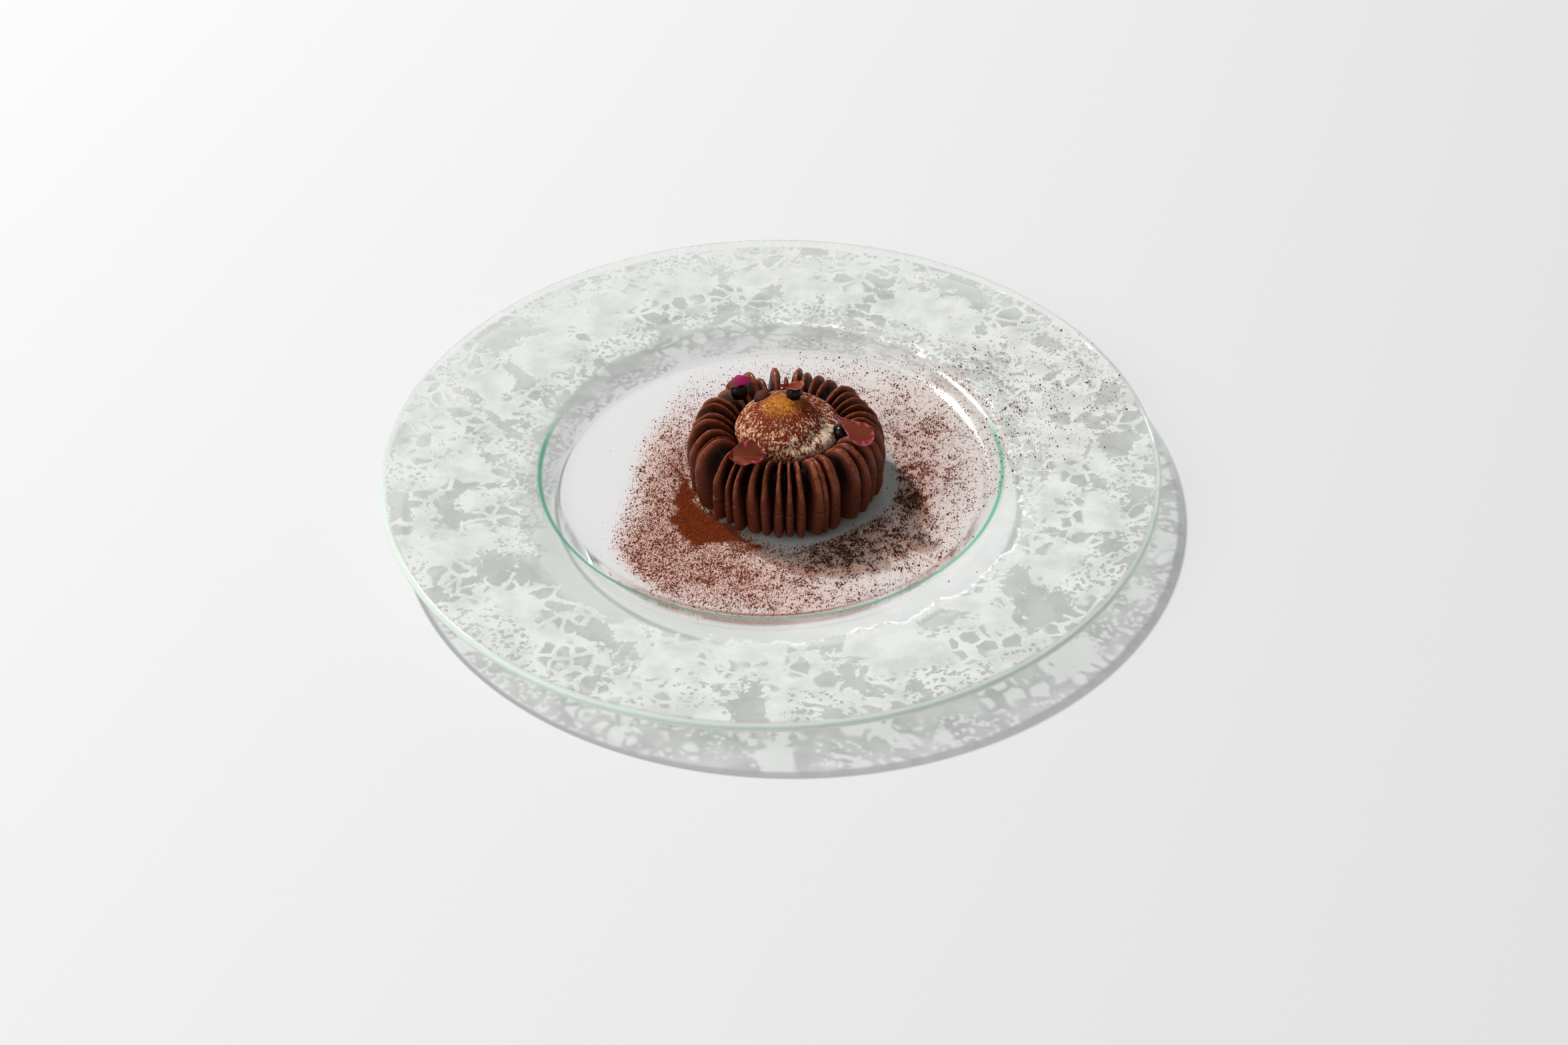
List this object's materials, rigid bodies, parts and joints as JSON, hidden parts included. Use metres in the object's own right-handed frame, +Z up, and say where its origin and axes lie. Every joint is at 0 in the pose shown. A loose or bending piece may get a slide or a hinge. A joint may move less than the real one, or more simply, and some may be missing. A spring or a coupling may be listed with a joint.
{
  "type": "chocolate mousse on a glass plate",
  "caption": "Round chocolate mousse with a collar of piped petals, a cream dollop, dark berries and rose petals on top, set in the well of a clear glass plate with a wide rim.",
  "frame": {"origin": "on the table, under the middle of the plate", "axes": "+Z up through the plate's middle; -Y is the side that faces the viewer, so the cream's fold and the long rose petal are at +X"},
  "size_m": [0.32, 0.32, 0.0512],
  "materials": {
    "glass": "clear pressed glass, faintly green, with a white enamel pattern on the rim",
    "chocolate": "piped chocolate mousse, satin, dusted with cocoa on top",
    "cream": "whipped cream dusted with cocoa and a little gold",
    "berry": "dark, wet berry skin",
    "petal": "thin rose petal with cocoa dust"
  },
  "bodies": {
    "root": {"plate": "glass", "mousse": "chocolate", "cream": "cream", "berry_back_left": "berry", "berry_left": "berry", "berry_top": "berry", "berry_right": "berry", "rose_petal_back_left": "petal", "rose_petal_top": "petal", "rose_petal_right": "petal", "rose_petal_front": "petal"}
  },
  "joints": []
}
